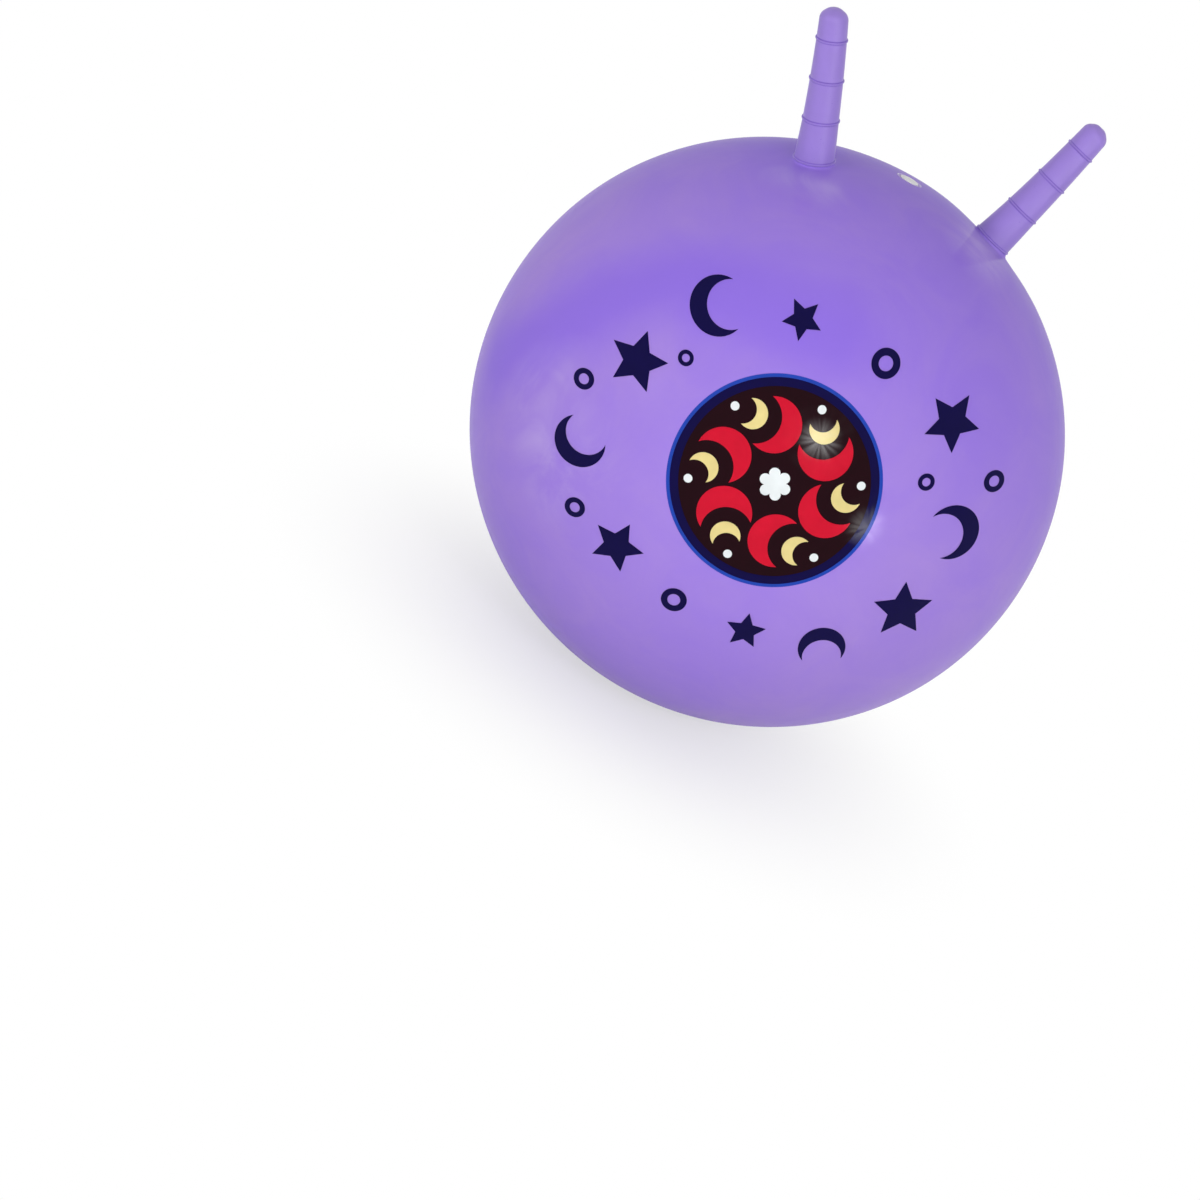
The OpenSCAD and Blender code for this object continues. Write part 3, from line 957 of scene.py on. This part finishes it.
LAP = 1.0 * MM  # by which one runs under the next
LOW_INK, HIGH_INK = 0.02 * MM, 0.13 * MM  # heights of the two levels over the skin
THROW_START = 0.95  # from the ball's centre to the plane that the flat print is thrown from, in ball radii


class HopperBallAddPrint(bpy.types.Operator):
    """Add the printed front: a pinwheel among stars, moons and rings"""

    bl_idname = "hopper_ball.add_print"
    bl_label = "Print"
    bl_options = {"REGISTER", "UNDO"}

    def execute(self, context):
        self.sizes = context.scene.hopper_ball
        self.shape = SkinShape(self.sizes)
        field = self.sizes.print
        disc, rim = field.wheel_radius, field.wheel_radius + field.rim
        self.ink("maroon", [self.disc(disc)], LOW_INK)
        scattered = [self.band(disc - LAP, rim)]
        scattered += [self.motif(self.star(), row) for row in STARS]
        scattered += [self.motif(self.crescent((0, 0), 1, MOON_CUT, MOON_BITE), row) for row in MOONS]
        scattered += [self.motif(self.band(HOOP_BORE, 1, segments=64), row) for row in HOOPS]
        self.ink("navy", scattered, HIGH_INK)
        self.ink("blue", [self.band(rim - LAP, rim + field.trim)], LOW_INK)
        self.ink("red", self.wheel(self.sickle, *BLADE), HIGH_INK)
        self.ink("cream", self.wheel(self.sickle, *SEED), HIGH_INK)
        self.ink("white", self.wheel(self.dot, ahead=DOT_TURN) + [self.flower(field)], HIGH_INK)
        return {"FINISHED"}

    def ink(self, name, flats, lift):
        """Joins flat motifs, throws them on the skin and gives them the thickness of a layer of ink."""
        field = self.sizes.print
        bpy.ops.object.select_all(action="DESELECT")
        for piece in flats:
            piece.select_set(True)
        bpy.context.view_layer.objects.active = piece = flats[0]
        if len(flats) > 1:
            bpy.ops.object.join()
        piece.name = piece.data.name = name + "_ink"
        aim = Matrix.Rotation(-field.turn, 3, "Z") @ Matrix.Rotation(math.pi / 2 - field.lift, 3, "X")
        axes = np.array(aim)
        points = coordinates(piece) @ axes.T + self.shape.centre + self.shape.half * THROW_START * axes[:, 2]
        move_to(piece, self.shape.throw(points, axes[:, 2], lift))
        mend(piece, INK_MERGE)
        face = piece.data.polygons[len(piece.data.polygons) // 2]
        if face.normal @ Vector(axes[:, 2]) < 0:
            enter_edit(piece, pick="SELECT")
            bpy.ops.mesh.flip_normals()
            leave_edit()
        wall = piece.modifiers.new("ink_layer", "SOLIDIFY")
        wall.thickness, wall.offset, wall.use_even_offset = field.ink, 1.0, False
        bpy.ops.object.modifier_apply(modifier=wall.name)
        smooth(piece, below=30)
        paint(piece, finish(name + "_ink", gloss_ink, getattr(self.sizes.finish, name)))
        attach(piece, "ball")
        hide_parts("print_" + name)
        "ink_" + name

    def motif(self, piece, row):
        """Sizes, turns and places one scattered motif."""
        across, up, size, turn = row
        half_w, half_h = self.sizes.print.width / 2, self.sizes.print.height / 2
        move_to(piece, coordinates(piece) * (size * half_h))
        turned(piece, math.radians(turn))
        move_to(piece, coordinates(piece) + [across * half_w, up * half_h, 0])
        return piece

    def wheel(self, make, *shares, ahead=0.0):
        """Makes a motif of the pinwheel for each blade and turns it there, or a share of a step ahead."""
        blades = self.sizes.print.blade_count
        step = 2 * math.pi / blades
        return [turned(make(*shares), 2 * math.pi * i / blades + ahead * step) for i in range(blades)]

    def sickle(self, at, radius, cut, bore):
        piece = self.crescent(at, radius, cut, radius * bore)
        move_to(piece, coordinates(piece) * self.sizes.print.wheel_radius)
        return piece

    def dot(self):
        field = self.sizes.print
        piece = self.disc(DOT_RADIUS * field.wheel_radius, segments=40, steps=3)
        move_to(piece, coordinates(piece) + [DOT_PLACE * field.wheel_radius, 0, 0])
        return piece

    def band(self, inner, outer, segments=256, steps=3):
        piece = begin(bpy.ops.mesh.primitive_circle_add, "band", vertices=segments, radius=inner,
                      fill_type="NOTHING")
        enter_edit(piece, pick="SELECT")
        radius = inner
        for i in range(1, steps + 1):
            bpy.ops.mesh.extrude_edges_move()
            wider = inner + (outer - inner) * i / steps
            bpy.ops.transform.resize(value=(wider / radius, wider / radius, 1), center_override=(0, 0, 0))
            radius = wider
        leave_edit()
        return piece

    def disc(self, outer, segments=256, steps=20):
        piece = self.band(outer / steps, outer, segments, steps - 1)
        enter_edit(piece)
        pick_rim(piece, lambda co: co.length < outer * 1.5 / steps)
        close_rim()
        leave_edit()
        return piece

    def star(self):
        """A disc whose every second corner is drawn in to the waist, cut fine."""
        piece = begin(bpy.ops.mesh.primitive_circle_add, "star", vertices=2 * STAR_SPIKES, radius=1,
                      fill_type="TRIFAN")
        points = coordinates(piece)
        step = 360 / STAR_SPIKES
        turn = np.degrees(np.arctan2(points[:, 0], points[:, 1])) % step
        waist = (np.abs(turn - step / 2) < 1) & (np.linalg.norm(points, axis=1) > 0.5)
        points[waist] *= STAR_WAIST
        move_to(piece, points)
        enter_edit(piece, pick="SELECT")
        bpy.ops.mesh.subdivide(number_cuts=7)
        leave_edit()
        return piece

    def crescent(self, at, radius, cut, bite):
        """A disc at a place, bitten by a smaller one: a grid whose long sides are laid on the two circles."""
        piece = begin(bpy.ops.mesh.primitive_grid_add, "crescent", x_subdivisions=40, y_subdivisions=6,
                      size=1)
        far = math.hypot(*cut)
        way = math.atan2(cut[1], cut[0])
        outer = math.acos((radius ** 2 + far ** 2 - bite ** 2) / (2 * radius * far))
        inner = math.acos((radius ** 2 - far ** 2 - bite ** 2) / (2 * bite * far))
        points = coordinates(piece)
        along, share = points[:, 0] + 0.5, points[:, 1, None] + 0.5
        sides = []
        for middle, size, tip in (((0, 0), radius, outer), (cut, bite, inner)):
            turn = way + tip + along * (2 * math.pi - 2 * tip)
            x, y = middle[0] + size * np.cos(turn), middle[1] + size * np.sin(turn)
            sides.append(np.stack([x, y, 0 * turn], 1))
        move_to(piece, sides[0] * (1 - share) + sides[1] * share + [*at, 0])
        return piece

    def flower(self, field):
        """A round core and petals, as one disc with a scalloped edge."""
        piece = self.disc(1, segments=144, steps=5)
        points = coordinates(piece)
        turn = np.arctan2(points[:, 1], points[:, 0])
        step = 2 * math.pi / field.petal_count
        off = np.abs((turn + step / 2) % step - step / 2)
        chord = np.maximum(PETAL_RADIUS ** 2 - (PETAL_PLACE * np.sin(off)) ** 2, 0)
        reach = np.where(chord > 0, PETAL_PLACE * np.cos(off) + np.sqrt(chord), 0)
        move_to(piece, points * (np.maximum(reach, FLOWER_CORE) * field.hub_radius)[:, None])
        return piece


# Soft lamps: name, place and width in metres, power, and whether gloss shows them

LAMPS = (
    ("high_umbrella", (-0.21, -2.14, 1.20), 1.05, 10, True),
    ("low_umbrella", (0.97, -2.18, 0.30), 1.0, 5, True),
    ("fill", (-2.10, -0.90, 0.35), 1.1, 9, False),
)
LAMP_AIM = Vector((0, 0, 0.24))
AMBIENT = 0.61
WHITE = (1.0, 1.0, 1.0)
FLOOR_RADIUS, FLOOR_DROP = 6, 0.4 * MM
FLOOR_FADE = (0.05, 0.33)  # distances from the ball's foot between which the floor turns white

# The camera, as in the photograph: its place, its right, up and back ways, and its lens in millimetres

CAMERA_PLACE = (-1.05206, -2.25121, 0.98300)
CAMERA_RIGHT = (0.862103, -0.187123, 0.470917)
CAMERA_UP = (-0.335042, 0.486711, 0.806758)
CAMERA_BACK = (-0.380164, -0.853286, 0.356901)
LENS, SENSOR_WIDTH = 102.83, 36


class HopperBallAddStage(bpy.types.Operator):
    """Add the pale floor, the soft lamps, the white surroundings and the camera"""

    bl_idname = "hopper_ball.add_stage"
    bl_label = "Stage"
    bl_options = {"REGISTER", "UNDO"}

    def execute(self, context):
        scene = context.scene
        floor = begin(bpy.ops.mesh.primitive_circle_add, "floor", vertices=128, radius=FLOOR_RADIUS,
                      location=(0, 0, -FLOOR_DROP), fill_type="NGON")
        paint(floor, finish("pale_floor", self.pale_floor))
        for row in LAMPS:
            self.add_lamp(scene, *row)
        scene.world = scene.world or bpy.data.worlds.new("surroundings")
        self.surroundings(Tree(scene.world))
        self.add_camera(scene)
        scene.view_settings.view_transform = "Standard"
        return {"FINISHED"}

    def add_camera(self, scene):
        data = bpy.data.cameras.new("camera")
        data.sensor_width, data.lens = SENSOR_WIDTH, LENS
        data.clip_start, data.clip_end = 0.1, 50
        camera = bpy.data.objects.new("camera", data)
        scene.collection.objects.link(camera)
        turn = Matrix((CAMERA_RIGHT, CAMERA_UP, CAMERA_BACK)).transposed().to_4x4()
        camera.matrix_world = Matrix.Translation(CAMERA_PLACE) @ turn
        scene.camera = camera

    def add_lamp(self, scene, name, place, size, power, in_gloss):
        """A round lamp that glows brightest in the middle and in spokes, as an umbrella does."""
        data = bpy.data.lights.new(name, "AREA")
        data.shape, data.size, data.energy = "DISK", size, power
        lamp = bpy.data.objects.new(name, data)
        scene.collection.objects.link(lamp)
        lamp.location = place
        lamp.rotation_euler = (LAMP_AIM - Vector(place)).to_track_quat("-Z", "Y").to_euler()
        lamp.visible_glossy = in_gloss
        tree = Tree(data)
        spot = tree.add("ShaderNodeNewGeometry", out="Parametric")
        arm = tree.vector("SUBTRACT", spot, (0.5, 0.5, 0.0))
        middle = tree.ramp(tree.size_of(arm), 0.0, 0.36, to_low=9.0, to_high=0.1)
        spokes = tree.noise(scale=5.0, detail=4.0, at=tree.vector("NORMALIZE", arm))
        glow = middle * tree.ramp(spokes, 0.38, 0.62, to_low=0.25, to_high=1.75)
        light = tree.add("ShaderNodeEmission", None, {"Color": WHITE, "Strength": glow})
        tree.add("ShaderNodeOutputLight", None, {"Surface": light}, out=None)

    def seen_rays(self, tree):
        """One for rays that show the background: from the camera, off gloss or through glass."""
        rays = [tree.add("ShaderNodeLightPath", out=name) for name in
                ("Is Camera Ray", "Is Glossy Ray", "Is Transmission Ray")]
        return (rays[0] + rays[1] + rays[2]).least(1.0)

    def surroundings(self, tree):
        plain = tree.add("ShaderNodeBackground", None, {"Color": WHITE, "Strength": AMBIENT})
        white = tree.add("ShaderNodeBackground", None, {"Color": WHITE, "Strength": 1.0})
        mixed = tree.add("ShaderNodeMixShader", None, {0: self.seen_rays(tree), 1: plain, 2: white})
        tree.add("ShaderNodeOutputWorld", None, {"Surface": mixed}, out=None)

    def pale_floor(self, tree):
        """Pale matt floor, which goes over into the white background away from the ball."""
        shade = tree.mix(tree.noise(scale=3.0), (0.80, 0.80, 0.80), (0.84, 0.84, 0.84))
        matt = tree.add("ShaderNodeBsdfPrincipled", None, {"Base Color": shade, "Roughness": 0.7}, out="BSDF")
        white = tree.add("ShaderNodeEmission", None, {"Color": WHITE, "Strength": 1.0})
        far = tree.size_of(tree.here())
        share = tree.ramp(far, *FLOOR_FADE, to_low=0.6, to_high=1.0) * self.seen_rays(tree)
        mixed = tree.add("ShaderNodeMixShader", None, {0: share, 1: matt, 2: white})
        tree.add("ShaderNodeOutputMaterial", None, {"Surface": mixed}, out=None)


class HopperBallPanel(bpy.types.Panel):
    bl_label = "Hopper ball"
    bl_idname = "VIEW3D_PT_hopper_ball"
    bl_space_type = "VIEW_3D"
    bl_region_type = "UI"
    bl_category = "Hopper ball"

    def draw(self, context):
        sizes = context.scene.hopper_ball
        for operator in OPERATORS:
            self.layout.operator(operator.bl_idname)
        for group in (sizes.skin, sizes.horn, sizes.valve, sizes.print, sizes.finish):
            box = self.layout.box()
            for name in group.__annotations__:
                box.prop(group, name)


GROUPS = (HopperBallSkin, HopperBallHorn, HopperBallValve, HopperBallPrint, HopperBallFinish, HopperBallSizes)
OPERATORS = (HopperBallAddSkin, HopperBallAddHorns, HopperBallAddValve, HopperBallAddPrint,
             HopperBallAddStage)


def register():
    for made in (*GROUPS, *OPERATORS, HopperBallPanel):
        bpy.utils.register_class(made)
    bpy.types.Scene.hopper_ball = PointerProperty(type=HopperBallSizes)


def unregister():
    del bpy.types.Scene.hopper_ball
    for made in (HopperBallPanel, *reversed(OPERATORS), *reversed(GROUPS)):
        bpy.utils.unregister_class(made)


def main():
    register()
    bpy.ops.hopper_ball.add_skin()
    bpy.ops.hopper_ball.add_horns()
    bpy.ops.hopper_ball.add_valve()
    bpy.ops.hopper_ball.add_print()
    bpy.ops.hopper_ball.add_stage()


if __name__ == "__main__":
    main()
